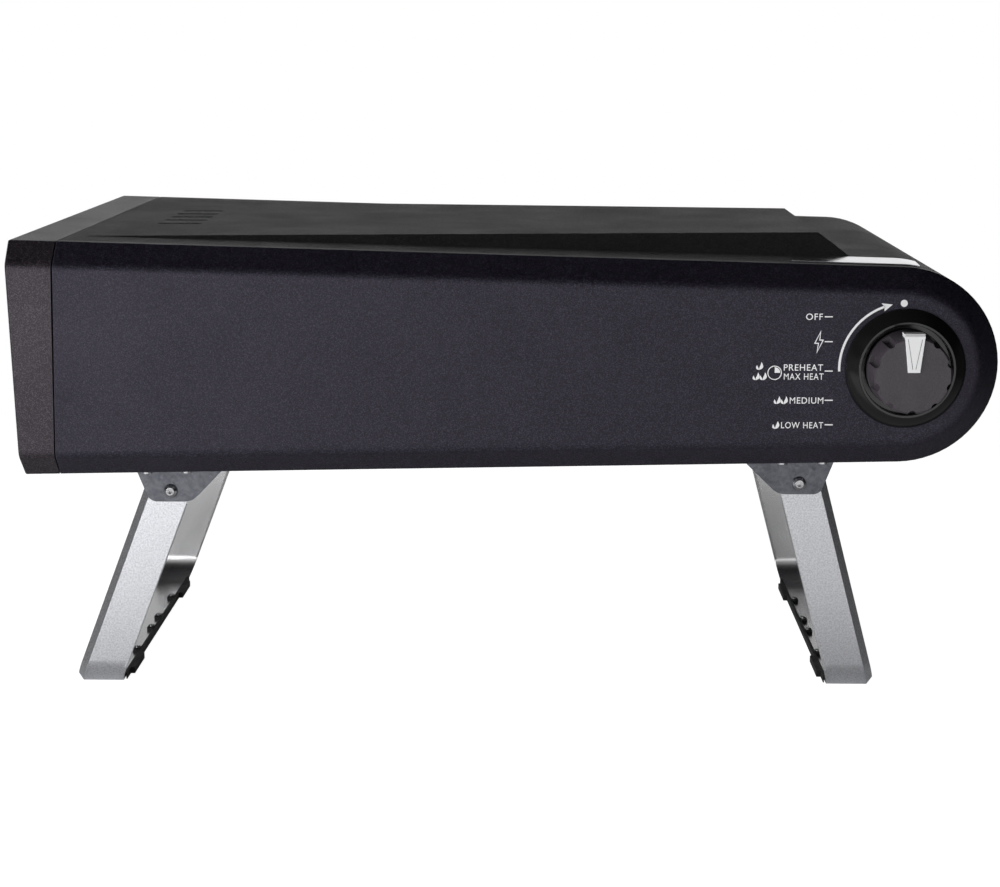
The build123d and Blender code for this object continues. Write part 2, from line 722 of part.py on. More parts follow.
with BuildPart() as knob_pointer:
    for outline, slot in ((pointer_plan, pointer_slot), (pointer_lip, lip_slot)):
        with BuildSketch(across(-KNOB_FRONT + slot - pointer_fit)):
            Polygon(*outline, align=None)
            offset(amount=-pointer_fit, kind=Kind.INTERSECTION)
        extrude(amount=slot - pointer_fit + POINTER_PROUD)
    chamfer(knob_pointer.faces().sort_by(Axis.Y)[0].edges().sort_by(Axis.Z)[-1], length=1.6)
finish(knob_pointer, "knob_pointer")

with BuildPart() as knob_bezel:
    with BuildSketch(TURNING_PLANE):
        with BuildLine():
            rise = Polyline((BEZEL_R, 0), (BEZEL_R, -1.4))
            dome = ThreePointArc(rise @ 1, (34.0, -5.4), (30.2, -COLLAR_H + 0.4))
            Polyline(
                dome @ 1,
                (30.0, -COLLAR_H),
                (COLLAR_R, -COLLAR_H),
                (COLLAR_R - 0.4, -2.0),
                (7.6, -2.0),
                (7.6, 0),
                (BEZEL_R, 0),
            )
        make_face()
    revolve(axis=KNOB_AXIS)
finish(knob_bezel, "knob_bezel")

# gas pipe from the valve's boss down and along to the inlet fitting
with BuildPart() as gas_pipe:
    with BuildLine():
        run = FilletPolyline(
            (AXIS_X - VALVE_R - 3, FACE_Y + VALVE_INLET, AXIS_Z),
            (PIPE_X, FACE_Y + VALVE_INLET, AXIS_Z),
            (PIPE_X, FACE_Y + VALVE_INLET, PIPE_Z),
            (PIPE_X, INLET_Y - 7.4, PIPE_Z),
            radius=9,
        )
    with BuildSketch(Plane(origin=run @ 0, z_dir=run % 0)):
        Circle(PIPE_R)
        Circle(PIPE_R - 1, mode=Mode.SUBTRACT)
    sweep(path=run)
finish(gas_pipe, "gas_pipe")

pan_top = bottom_z(PIPE_X, COVER_T) + 0.3
with BuildPart() as gas_inlet:
    with BuildSketch(Plane.XY.offset(pan_top)):
        with Locations((PIPE_X, INLET_Y)):
            Rectangle(14.5, 14.5)
    extrude(amount=14.5)
    with BuildSketch(Plane.XY.offset(pan_top)):
        with Locations((PIPE_X, INLET_Y)):
            Circle(INLET_NECK_R)
    extrude(amount=INLET_LOW - pan_top)
    with BuildSketch(Plane.XY.offset(INLET_LOW)):
        with Locations((PIPE_X, INLET_Y)):
            Circle(INLET_R)
    extrude(amount=INLET_CHAMFER + INLET_THREAD)
    chamfer(gas_inlet.faces().sort_by(Axis.Z)[0].edges(), length=INLET_CHAMFER)
    with BuildSketch(Plane.XY.offset(INLET_LOW)):
        with Locations((PIPE_X, INLET_Y)):
            Circle(3.5)
    extrude(amount=22, mode=Mode.SUBTRACT)
finish(gas_inlet, "gas_inlet")

with BuildPart() as inlet_locknut:
    nut_top = bottom_z(PIPE_X) - 0.3
    with BuildSketch(Plane.XY.offset(nut_top)):
        with Locations((PIPE_X, INLET_Y)):
            RegularPolygon(10.4, 6)
            Circle(INLET_NECK_R + 0.02, mode=Mode.SUBTRACT)
    extrude(amount=-3.2)
finish(inlet_locknut, "inlet_locknut")

# spark electrode, flame sensor and the piezo that fires the spark
for label, (x, z), reach in (
    ("igniter_electrode", IGNITER_XZ, 26.0),
    ("thermocouple", THERMOCOUPLE_XZ, 20.0),
):
    with BuildPart() as probe:
        with BuildSketch(Plane.XZ.offset(-BAY_WALL_Y + 14)):
            with Locations((x, z)):
                Circle(PROBE_R)
        extrude(amount=-30)
        with BuildSketch(Plane.XZ.offset(-BAY_WALL_Y + 4)):
            with Locations((x, z)):
                Circle(PROBE_R + 2)
        extrude(amount=-2.4)
        with BuildSketch(Plane.XZ.offset(-BAY_WALL_Y + 18)):
            with Locations((x, z)):
                Circle(1.0)
        extrude(amount=-34 - reach)
    finish(probe, label)

with BuildPart() as piezo_igniter:
    with BuildSketch(Plane.XZ.offset(-FACE_Y - 16)):
        with Locations(PIEZO_XZ):
            Circle(8.0)
    extrude(amount=-38)
    with BuildSketch(Plane.XZ.offset(-FACE_Y - 54)):
        with Locations(PIEZO_XZ):
            Circle(3.0)
    extrude(amount=-4)
finish(piezo_igniter, "piezo_igniter")

with BuildPart() as ignition_lead:
    with BuildLine():
        lead = FilletPolyline(
            (PIEZO_XZ[0], FACE_Y + 58, PIEZO_XZ[1]),
            (PIEZO_XZ[0], FACE_Y + 70, PIEZO_XZ[1]),
            (IGNITER_XZ[0], FACE_Y + 78, IGNITER_XZ[1]),
            (IGNITER_XZ[0], BAY_WALL_Y - 18, IGNITER_XZ[1]),
            radius=5,
        )
    with BuildSketch(Plane(origin=lead @ 0, z_dir=lead % 0)):
        Circle(1.5)
    sweep(path=lead)
finish(ignition_lead, "ignition_lead")

# =============================================================== legs


def leg_x(leg, z, out=0.0):
    """x of a leg's inner edge at height z, or of the line that far outside it."""
    return leg["inner"] + leg["side"] * (out - leg["lean"] * z)


def leg_outline(leg):
    """Side outline of an arm, with a rounded top about the pivot and a heel that meets the pan."""
    side, lean = leg["side"], leg["lean"]
    px, pz = leg["pivot"]
    slant = hypot(1, lean)
    r = abs(leg_x(leg, pz) - px) / slant
    inward = Vector(-side / slant, -lean / slant)
    middle = (inward + Vector(0, 1)).normalized()
    heel_x = leg_x(leg, pz + 18, LEG_W)
    heel_z = min(bottom_z(heel_x), bottom_z(px)) - LEG_HEEL_GAP
    with BuildSketch() as outline:
        with BuildLine():
            arc = ThreePointArc(
                (px + r * inward.X, pz + r * inward.Y),
                (px + r * middle.X, pz + r * middle.Y),
                (px, pz + r),
            )
            Polyline(
                arc @ 1,
                (px + side * 7, heel_z),
                (leg_x(leg, heel_z, LEG_W), heel_z),
                (leg_x(leg, LEG_FOOT, LEG_W), LEG_FOOT),
                (leg_x(leg, LEG_FOOT), LEG_FOOT),
                arc @ 0,
            )
        make_face()
    return outline.sketch


def leg_void_outline(leg):
    """Side outline of what is hollowed out of a leg frame."""
    low, high = LEG_FOOT + LEG_T, 200
    skin = LEG_W - LEG_T
    with BuildSketch() as outline:
        Polygon(
            (leg_x(leg, low, -10), low),
            (leg_x(leg, low, skin), low),
            (leg_x(leg, high, skin), high),
            (leg_x(leg, high, -10), high),
            align=None,
        )
    return outline.sketch


def leg_block(leg, outline, inset):
    """A leg's side outline run across the oven, its lower corners bent and outer edges bevelled."""
    half = LEG_HALF - inset
    with BuildPart() as block:
        with BuildSketch(Plane.XZ.offset(half - MID)):
            add(outline)
        extrude(amount=-2 * half)
        fillet(
            block.faces().sort_by(Axis.Z)[0].edges().filter_by(Axis.X),
            radius=LEG_BEND - inset,
        )
        outer = block.faces().sort_by(lambda face: face.normal_at().X * leg["side"])[-1]
        chamfer(outer.edges().sort_by(Axis.Z)[:-1], length=LEG_BEVEL - 0.586 * inset)
    return block.part


def leg_flanges(leg):
    """Folded inner edges of both arms, narrowing towards the foot."""
    low, high = 14.0, leg["pivot"][1] - 12
    with BuildPart() as flanges:
        with BuildSketch(Plane.XZ.offset(LEG_HALF - MID)):
            Polygon(
                (leg_x(leg, low), low),
                (leg_x(leg, low, LEG_T), low),
                (leg_x(leg, high, LEG_T), high),
                (leg_x(leg, high), high),
                align=None,
            )
        extrude(amount=-2 * LEG_HALF)
        with BuildSketch(Plane.YZ.offset(-400)):
            for side in (-1, 1):
                Polygon(
                    (MID + side * LEG_HALF, low),
                    (MID + side * (LEG_HALF - LEG_T), low),
                    (MID + side * (LEG_HALF - LEG_FLANGE), high),
                    (MID + side * LEG_HALF, high),
                    align=None,
                )
        extrude(amount=800, mode=Mode.INTERSECT)
    return flanges.part


def across_y(y):
    """Plane parallel to the side faces at y, facing the user's right."""
    return Plane.XZ.offset(-y)


for name, leg in LEGS.items():
    side = leg["side"]
    px, pz = leg["pivot"]
    whole = leg_block(leg, leg_outline(leg), 0)
    void = leg_block(leg, leg_void_outline(leg), LEG_T)
    flanges = leg_flanges(leg)
    edge_x = leg_x(leg, LEG_FOOT + LEG_T)
    screw_x = edge_x + side * RUBBER_SCREW_IN
    screw_places = [(screw_x, MID + y) for y in RUBBER_SCREW_YS]

    with BuildPart() as leg_frame:
        add(whole)
        add(void, mode=Mode.SUBTRACT)
        # the frame is open between its bevelled edges
        with BuildSketch(Plane.YZ.offset(-400)):
            with Locations((MID, 120 + LEG_FOOT + LEG_BEVEL)):
                RectangleRounded(2 * (LEG_HALF - LEG_BEVEL), 240, LEG_BEND - LEG_BEVEL)
        extrude(amount=800, mode=Mode.SUBTRACT)
        add(flanges)
        with BuildSketch(across_y(-200)):
            with Locations((px, pz)):
                Circle(BUSH_R + RUNNING_GAP)
        extrude(amount=-500, mode=Mode.SUBTRACT)
        with BuildSketch(Plane.XY.offset(-5)):
            with Locations(*screw_places):
                Circle(RUBBER_HOLE_R + 0.05)
        extrude(amount=15, mode=Mode.SUBTRACT)
    finish(leg_frame, f"{name}_leg")

    # rubber strip hooked over the crossbar's inner edge, with two thicker pads
    front_x = edge_x - side * RUBBER_PROUD
    with BuildPart() as rubber:
        with BuildSketch(across_y(MID - LEG_HALF + LEG_BEND + 1)):
            Polygon(
                (edge_x - side * 0.2, 0),
                (front_x, 0),
                (front_x, RUBBER_H),
                (edge_x + side * RUBBER_LAP, RUBBER_H),
                (edge_x + side * RUBBER_LAP, LEG_FOOT + LEG_T),
                (edge_x - side * 0.2, LEG_FOOT + LEG_T),
                align=None,
            )
        extrude(amount=-2 * (LEG_HALF - LEG_BEND - 1))
        for pad_side in (-1, 1):
            with Locations((front_x - side * PAD_PROUD / 2, MID + pad_side * PAD_Y, RUBBER_H / 2)):
                Box(PAD_PROUD + 0.4, PAD_LENGTH, RUBBER_H)
        with BuildSketch(Plane.XY.offset(LEG_FOOT + LEG_T)):
            with Locations(*[(edge_x + side * TAB_LAP / 2, y) for _, y in screw_places]):
                RectangleRounded(TAB_LAP, TAB_LENGTH, 1.5)
        extrude(amount=RUBBER_H - LEG_FOOT - LEG_T)
        with BuildSketch(Plane.XY.offset(-5)):
            with Locations(*screw_places):
                Circle(RUBBER_HOLE_R + 0.05)
        extrude(amount=30, mode=Mode.SUBTRACT)
    finish(rubber, f"{name}_leg_rubber")

    with BuildPart() as rubber_screws:
        with BuildSketch(Plane.XY.offset(RUBBER_H + 0.1)):
            with Locations(*screw_places):
                Circle(RUBBER_HEAD_R)
        extrude(amount=RUBBER_HEAD_H)
        fillet(rubber_screws.edges().group_by(Axis.Z)[-1], radius=0.8)
        with BuildSketch(Plane.XY.offset(RUBBER_H + 0.5)):
            with Locations(*screw_places):
                Circle(RUBBER_HOLE_R)
        extrude(amount=LEG_FOOT - RUBBER_H)
        with BuildSketch(Plane.XY.offset(RUBBER_H + 3)):
            with Locations(*screw_places):
                Rectangle(2.4, 0.5)
                Rectangle(0.5, 2.4)
        extrude(amount=-2.2, mode=Mode.SUBTRACT)
    finish(rubber_screws, f"{name}_leg_screws")

    # an angle bracket outside each arm, its flange turned outwards under the pan
    for hand, way in (("right", -1), ("left", 1)):
        face_y = MID + way * BRACKET_FACE
        plate_y = MID + way * (BRACKET_FACE - BRACKET_T)
        top_gap = 0.05
        rise = bottom_z(px) - pz
        tops = [px + side * (BRACKET_OUTER + 0.39 * (rise + BRACKET_LOW)), px - side * (rise + 21)]
        with BuildPart() as bracket:
            with BuildSketch(across_y(max(face_y, plate_y))):
                with BuildLine():
                    FilletPolyline(
                        (tops[0], bottom_z(tops[0]) - top_gap),
                        (px + side * BRACKET_OUTER, pz - BRACKET_LOW),
                        (px - side * BRACKET_INNER, pz - BRACKET_LOW),
                        (tops[1], bottom_z(tops[1]) - top_gap),
                        radius=[7, 12],
                    )
                    Line(
                        (tops[1], bottom_z(tops[1]) - top_gap),
                        (tops[0], bottom_z(tops[0]) - top_gap),
                    )
                make_face()
            extrude(amount=BRACKET_T)
            low_x, high_x = min(tops) + 4, max(tops) - 4
            with BuildSketch(across_y(max(plate_y, face_y + way * BRACKET_FLANGE))):
                Polygon(
                    (low_x, bottom_z(low_x) - top_gap),
                    (high_x, bottom_z(high_x) - top_gap),
                    (high_x, bottom_z(high_x) - top_gap - BRACKET_T),
                    (low_x, bottom_z(low_x) - top_gap - BRACKET_T),
                    align=None,
                )
            extrude(amount=BRACKET_FLANGE + BRACKET_T)
            with BuildSketch(across_y(-200)):
                with Locations((px, pz)):
                    Circle(PIVOT_R + 0.1)
            extrude(amount=-500, mode=Mode.SUBTRACT)
            with BuildSketch(Plane.XY.offset(100)):
                with Locations(*BRACKET_SCREWS):
                    Circle(SCREW_R + 0.1)
            extrude(amount=100, mode=Mode.SUBTRACT)
        finish(bracket, f"leg_bracket_{name}_{hand}")

for name, leg in LEGS.items():
    px, pz = leg["pivot"]
    pivot_axis = Axis((px, MID, pz), (0, 1, 0))
    screw_profile = (
        (0, BRACKET_FACE - 0.4),
        (1.7, BRACKET_FACE - 0.4),
        (1.7, BRACKET_FACE + 2.75),
        (2.6, BRACKET_FACE + 2.75),
        (4.2, BRACKET_FACE + 1.6),
        (4.75, BRACKET_FACE + 0.05),
        (PIVOT_R, BRACKET_FACE + 0.05),
        (PIVOT_R, BRACKET_FACE - 13),
        (0, BRACKET_FACE - 13),
    )
    arm_in = LEG_HALF - LEG_T
    bush_profile = (
        (PIVOT_R + 0.05, BRACKET_FACE - BRACKET_T),
        (7.0, BRACKET_FACE - BRACKET_T),
        (7.0, LEG_HALF + 0.2),
        (BUSH_R, LEG_HALF + 0.2),
        (BUSH_R, arm_in - 0.4),
        (PIVOT_R + 0.05, arm_in - 0.4),
    )
    nut_profile = (
        (PIVOT_R + 0.05, arm_in - 0.5),
        (6.0, arm_in - 0.5),
        (6.0, arm_in - 1.5),
        (4.4, arm_in - 1.5),
        (4.4, arm_in - 5.5),
        (PIVOT_R + 0.05, arm_in - 5.5),
    )
    for label, profile in (
        ("pivot_screws", screw_profile),
        ("pivot_bushes", bush_profile),
        ("pivot_nuts", nut_profile),
    ):
        with BuildPart() as turned_pair:
            for way in (-1, 1):
                with BuildSketch(Plane(origin=(px, MID, pz), x_dir=(1, 0, 0), z_dir=(0, 0, 1))):
                    with BuildLine():
                        Polyline(*[(r, way * y) for r, y in profile], close=True)
                    make_face()
                revolve(axis=pivot_axis)
        finish(turned_pair, f"{name}_{label}")

with BuildPart() as bracket_screws:
    for x, y in BRACKET_SCREWS:
        head_z = bottom_z(x) - 0.5 - BRACKET_T
        with BuildSketch(Plane.XY.offset(head_z)):
            with Locations((x, y)):
                Circle(3.6)
        extrude(amount=-2.2)
        with BuildSketch(Plane.XY.offset(head_z)):
            with Locations((x, y)):
                Circle(SCREW_R)
        extrude(amount=8)
finish(bracket_screws, "bracket_screws")
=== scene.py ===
import math

import bmesh
import bpy
from mathutils import Matrix, Vector


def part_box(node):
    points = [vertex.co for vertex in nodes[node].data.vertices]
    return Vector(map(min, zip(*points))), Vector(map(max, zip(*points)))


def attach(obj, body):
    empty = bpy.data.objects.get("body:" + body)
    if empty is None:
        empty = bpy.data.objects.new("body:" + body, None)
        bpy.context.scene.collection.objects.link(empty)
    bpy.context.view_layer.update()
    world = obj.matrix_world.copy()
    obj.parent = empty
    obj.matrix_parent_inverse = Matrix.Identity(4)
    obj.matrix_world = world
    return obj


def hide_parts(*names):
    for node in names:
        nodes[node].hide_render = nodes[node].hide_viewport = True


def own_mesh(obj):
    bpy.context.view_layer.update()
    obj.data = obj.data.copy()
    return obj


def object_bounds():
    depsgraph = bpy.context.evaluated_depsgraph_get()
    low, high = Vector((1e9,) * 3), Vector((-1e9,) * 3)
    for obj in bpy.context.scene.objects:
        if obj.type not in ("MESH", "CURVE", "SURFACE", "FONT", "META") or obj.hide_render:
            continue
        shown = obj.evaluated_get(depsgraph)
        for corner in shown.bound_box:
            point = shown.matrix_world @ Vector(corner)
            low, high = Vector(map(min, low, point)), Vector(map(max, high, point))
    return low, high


# Looks for the countertop pizza oven: materials for the CAD nodes, the printed dial marks and small
# details that the CAD leaves out, a pale floor, soft studio light and the camera. Metres throughout.

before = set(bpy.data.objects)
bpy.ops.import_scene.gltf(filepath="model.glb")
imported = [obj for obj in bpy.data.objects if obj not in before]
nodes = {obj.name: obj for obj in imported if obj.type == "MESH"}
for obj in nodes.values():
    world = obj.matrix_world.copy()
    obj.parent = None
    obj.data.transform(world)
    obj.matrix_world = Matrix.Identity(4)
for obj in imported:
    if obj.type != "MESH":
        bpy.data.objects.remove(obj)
cad_low, cad_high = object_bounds()
MM = 0.001

# ---- places taken from the CAD parts
dial_low, dial_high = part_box("knob_bezel")
AXIS_X = (dial_low.x + dial_high.x) / 2     # the knob's axis
AXIS_Z = (dial_low.z + dial_high.z) / 2
FACE_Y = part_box("side_panel_right")[0].y    # outer face of the knob's side panel
MIDDLE = (cad_low + cad_high) / 2
MIDDLE_Y = (FACE_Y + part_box("side_panel_left")[1].y) / 2    # the casing's own middle plane

# a colour mix node shares its class with other kinds, and its colour sockets have these places
MIX_FIRST, MIX_SECOND, MIX_RESULT = 6, 7, 2


# ------------------------------------------------------------------ materials
class Finish:
    """A material being put together: one Principled shader and the textures that feed it."""

    def __init__(self, name, colour, roughness, metallic=0.0):
        self.material = bpy.data.materials.new(name)
        self.material.use_nodes = True
        self.tree = self.material.node_tree
        self.tree.nodes.clear()
        self.surface = self.add("ShaderNodeBsdfPrincipled")
        output = self.add("ShaderNodeOutputMaterial")
        self.tree.links.new(self.surface.outputs["BSDF"], output.inputs["Surface"])
        self.place = self.add("ShaderNodeTexCoord").outputs["Object"]
        self.relief = None
        self.set("Base Color", (*colour, 1.0))
        self.set("Roughness", roughness)
        self.set("Metallic", metallic)

    def add(self, kind, **settings):
        node = self.tree.nodes.new(kind)
        for key, value in settings.items():
            setattr(node, key, value)
        return node

    def set(self, socket, value):
        """Feeds a shader socket with a plain value or with another node's output."""
        if isinstance(value, bpy.types.NodeSocket):
            self.tree.links.new(value, self.surface.inputs[socket])
        else:
            self.surface.inputs[socket].default_value = value

    def feed(self, node, **inputs):
        """Sets a node's inputs by name, with _ for a space, to plain values or other nodes' outputs."""
        for socket, value in inputs.items():
            target = node.inputs[socket.replace("_", " ")]
            if isinstance(value, bpy.types.NodeSocket):
                self.tree.links.new(value, target)
            else:
                target.default_value = value
        return node

    def stretched(self, amounts):
        """Object coordinates scaled along X, Y and Z, for brushed or drawn textures."""
        node = self.feed(self.add("ShaderNodeMapping"), Vector=self.place, Scale=amounts)
        return node.outputs["Vector"]

    def noise(self, size, detail=2.0, roughness=0.5, place=None, warp=0.0):
        """Soft noise from 0 to 1 with features about `size` metres across."""
        node = self.add("ShaderNodeTexNoise")
        self.feed(
            node,
            Vector=place or self.place,
            Scale=1.0 / size,
            Detail=detail,
            Roughness=roughness,
            Distortion=warp,
        )
        return node.outputs["Fac"]

    def cells(self, size):
        """Voronoi cells about `size` metres across, with a random value from 0 to 1 for each."""
        node = self.feed(self.add("ShaderNodeTexVoronoi"), Vector=self.place, Scale=1.0 / size)
        split = self.feed(self.add("ShaderNodeSeparateColor"), Color=node.outputs["Color"])
        return split.outputs["Red"]

    def remap(self, value, start, end, low=0.0, high=1.0):
        """Value from start..end to low..high, held at both ends."""
        node = self.add("ShaderNodeMapRange")
        inputs = {"Value": value, "From_Min": start, "From_Max": end, "To_Min": low, "To_Max": high}
        return self.feed(node, **inputs).outputs["Result"]

    def maths(self, operation, first, second=0.0):
        node = self.add("ShaderNodeMath", operation=operation)
        for socket, value in zip(node.inputs, (first, second)):
            if isinstance(value, bpy.types.NodeSocket):
                self.tree.links.new(value, socket)
            else:
                socket.default_value = value
        return node.outputs["Value"]

    def blend(self, amount, first, second):
        """A colour between first and second."""
        node = self.add("ShaderNodeMix", data_type="RGBA")
        factor = node.inputs["Factor"]
        ends = ((node.inputs[MIX_FIRST], first), (node.inputs[MIX_SECOND], second))
        for socket, value in ((factor, amount), *ends):
            if isinstance(value, bpy.types.NodeSocket):
                self.tree.links.new(value, socket)
            elif socket is factor:
                socket.default_value = value
            else:
                socket.default_value = (*value, 1.0)
        return node.outputs[MIX_RESULT]

    def rounded(self, radius):
        """Rounds every edge's shading by this radius."""
        node = self.feed(self.add("ShaderNodeBevel", samples=6), Radius=radius)
        self.relief = node.outputs["Normal"]
        self.set("Normal", self.relief)
        return self.relief

    def edge_mask(self, radius, gain=4.0):
        """1 along edges and corners, 0 on open faces."""
        soft = self.feed(self.add("ShaderNodeBevel", samples=6), Radius=radius).outputs["Normal"]
        true = self.add("ShaderNodeNewGeometry").outputs["Normal"]
        node = self.add("ShaderNodeVectorMath", operation="DOT_PRODUCT")
        self.tree.links.new(soft, node.inputs[0])
        self.tree.links.new(true, node.inputs[1])
        return self.remap(node.outputs["Value"], 1.0, 1.0 - 1.0 / gain)

    def bump(self, height, depth, strength=1.0):
        """Adds relief: height 0 to 1 stands for `depth` metres."""
        node = self.feed(self.add("ShaderNodeBump"), Height=height, Distance=depth, Strength=strength)
        if self.relief is not None:
            self.tree.links.new(self.relief, node.inputs["Normal"])
        self.relief = node.outputs["Normal"]
        self.set("Normal", self.relief)


def powder_coat(name, colour, fleck, roughness, grain, sheen):
    """Fine-textured baked powder coat: pebbled grain, pale flecks, a little polish and wear along its edges,
    which are also lightened there as a painted highlight.
    """
    edge = 0.0006
    paint = Finish(name, colour, roughness)
    paint.surface.inputs["Specular Tint"].default_value = (*sheen, 1.0)
    pebble = paint.noise(0.00085, detail=3.0, roughness=0.62)
    fine = paint.noise(0.00034, detail=1.0)
    cloud = paint.noise(0.045, detail=4.0, warp=0.4)
    speck = paint.cells(0.00048)
    lit = paint.remap(speck, 0.55, 1.0, 0.0, 1.0)
    low, high = (tuple(k * c for c in colour) for k in (0.35, 1.6))
    base = paint.blend(paint.remap(pebble, 0.38, 0.62), low, high)
    base = paint.blend(lit, base, fleck)
    # along edges: polish and wear, and the base colour lightened towards a pale grey as a painted highlight
    edge_wear_and_highlight = paint.edge_mask(edge, gain=6.0)
    rubbed_and_highlit = paint.maths("MULTIPLY", edge_wear_and_highlight, paint.remap(cloud, 0.42, 0.72, 0.1, 0.8))
    base = paint.blend(rubbed_and_highlit, base, tuple(2.2 * c for c in fleck))
    paint.set("Base Color", base)
    gloss = paint.remap(cloud, 0.3, 0.7, roughness - 0.03, roughness + 0.05)
    paint.set("Roughness", paint.maths("SUBTRACT", gloss, paint.maths("MULTIPLY", edge_wear_and_highlight, 0.08)))
    paint.rounded(edge)
    paint.bump(paint.noise(0.06, detail=2.0), 0.00025, 0.35)
    paint.bump(pebble, 0.00020 * grain)
    paint.bump(fine, 0.00008 * grain)
    return paint.material


def sheet_metal(name, colour, roughness, grain=0.4, direction=None, stain=None):
    """Bare metal: bead-blasted, or brushed along one direction, with handling marks."""
    metal = Finish(name, colour, roughness, metallic=1.0)
    metal.rounded(0.0004)
    if direction is None:
        texture = metal.noise(0.00055, detail=3.0, roughness=0.6)
        depth = 0.00010
    else:
        texture = metal.noise(0.0004, detail=3.0, roughness=0.6, place=metal.stretched(direction))
        depth = 0.00004
    smudge = metal.noise(0.03, detail=5.0, roughness=0.6, warp=0.6)
    darker = tuple(0.78 * c for c in colour)
    base = metal.blend(metal.remap(texture, 0.3, 0.7), darker, colour)
    if stain is not None:
        base = metal.blend(metal.remap(smudge, 0.45, 0.75, 0.0, 0.7), base, stain)
    metal.set("Base Color", base)
    metal.set("Roughness", metal.remap(smudge, 0.3, 0.75, roughness - 0.05, roughness + 0.07))
    metal.bump(metal.noise(0.04, detail=1.0), 0.0002, 0.25)
    metal.bump(texture, depth * grain)
    return metal.material


def leg_sheet(name, colour, blasted, smooth):
    """Steel strip: bead-blasted and speckled on its outward faces, smooth and bright inside."""
    inner_colour = (0.92, 0.92, 0.93)
    metal = Finish(name, colour, blasted, metallic=1.0)
    metal.rounded(0.0006)
    grit = metal.noise(0.0011, detail=3.0, roughness=0.7)
    fine = metal.noise(0.0004, detail=2.0)
    drawn = metal.noise(0.0006, detail=2.0, place=metal.stretched((1.0, 1.0, 0.04)))
    # outward faces look away from the casing's middle plane
    facing = metal.add("ShaderNodeSeparateXYZ")
    metal.tree.links.new(metal.add("ShaderNodeNewGeometry").outputs["True Normal"], facing.inputs["Vector"])
    where = metal.add("ShaderNodeSeparateXYZ")
    metal.tree.links.new(metal.place, where.inputs["Vector"])
    from_middle = metal.maths("SUBTRACT", where.outputs["Y"], MIDDLE_Y)
    outward = metal.remap(metal.maths("MULTIPLY", facing.outputs["Y"], from_middle), -0.001, 0.02)
    darker = tuple(0.72 * c for c in colour)
    speckled = metal.blend(metal.remap(grit, 0.38, 0.62), darker, colour)
    metal.set("Base Color", metal.blend(outward, inner_colour, speckled))
    metal.set("Roughness", metal.remap(outward, 0.0, 1.0, smooth, blasted))
    metal.bump(metal.maths("MULTIPLY", metal.maths("ADD", grit, fine), outward), 0.00011)
    metal.bump(drawn, 0.000006)
    return metal.material


def galvanised(name, dark, light):
    """Zinc coat: overlapping crystals of slightly different grey, each with its own gloss."""
    roughness = 0.42
    zinc = Finish(name, light, roughness, metallic=1.0)
    zinc.rounded(0.0005)
    crystal = zinc.cells(0.0022)
    small = zinc.cells(0.0008)
    mottle = zinc.noise(0.007, detail=5.0, roughness=0.65, warp=1.2)
    mixed = zinc.maths("MULTIPLY_ADD", crystal, 0.22)
    zinc.tree.links.new(mottle, mixed.node.inputs[2])
    zinc.set("Base Color", zinc.blend(zinc.remap(mixed, 0.40, 0.80), dark, light))
    zinc.set("Roughness", zinc.remap(small, 0.0, 1.0, roughness - 0.08, roughness + 0.12))
    zinc.bump(mottle, 0.0003, 0.25)
    zinc.bump(small, 0.00004, 0.5)
    return zinc.material


def machined(name, colour, roughness):
    """Turned or stamped small metal part, such as a screw."""
    metal = Finish(name, colour, roughness, metallic=1.0)
    metal.rounded(0.00015)
    fine = metal.noise(0.0003, detail=2.0)
    soil = metal.noise(0.003, detail=3.0)
    dulled = tuple(0.6 * c for c in colour)
    metal.set("Base Color", metal.blend(metal.remap(soil, 0.35, 0.75), colour, dulled))
    metal.set("Roughness", metal.remap(soil, 0.3, 0.7, roughness - 0.05, roughness + 0.1))
    metal.bump(fine, 0.00002)
    return metal.material


def heat_tinted(name):
    """Stainless steel that has been hot: straw, brown and blue bands over the bare metal."""
    roughness = 0.36
    steel = Finish(name, (0.55, 0.53, 0.50), roughness, metallic=1.0)
    steel.rounded(0.0002)
    drift = steel.noise(0.05, detail=4.0, warp=0.8)
    ramp = steel.feed(steel.add("ShaderNodeValToRGB"), Fac=drift)
    bare, straw, brown, blue = (0.56, 0.54, 0.51), (0.52, 0.40, 0.22), (0.30, 0.20, 0.18), (0.22, 0.26, 0.36)
    stops = ((0.30, bare), (0.48, straw), (0.62, brown), (0.74, blue))
    band = ramp.color_ramp
    for position, colour in stops[1:-1]:
        band.elements.new(position)
    for element, (position, colour) in zip(band.elements, stops):
        element.position = position
        element.color = (*colour, 1.0)
    steel.set("Base Color", ramp.outputs["Color"])
    streak = steel.noise(0.0004, detail=2.0, place=steel.stretched((1.0, 0.05, 1.0)))
    steel.set("Roughness", steel.remap(streak, 0.3, 0.7, roughness - 0.06, roughness + 0.08))
    steel.bump(streak, 0.00003)
    return steel.material


def moulded(name, colour, roughness, grain_depth=0.00003, grain_size=0.0004, coat=0.0, mottle=0.25):
    """Moulded plastic or rubber with a fine spark-eroded texture."""
    plastic = Finish(name, colour, roughness)
    plastic.surface.inputs["Coat Weight"].default_value = coat
    plastic.surface.inputs["Coat Roughness"].default_value = 0.08
    plastic.rounded(0.0004)
    grain = plastic.noise(grain_size, detail=2.0)
    cloud = plastic.noise(0.012, detail=4.0, warp=0.3)
    low, high = (tuple(k * c for c in colour) for k in (1.0 - mottle, 1.0 + mottle))
    plastic.set("Base Color", plastic.blend(plastic.remap(grain, 0.3, 0.7), low, high))
    plastic.set("Roughness", plastic.remap(cloud, 0.3, 0.7, roughness - 0.05, roughness + 0.07))
    plastic.bump(grain, grain_depth)
    return plastic.material


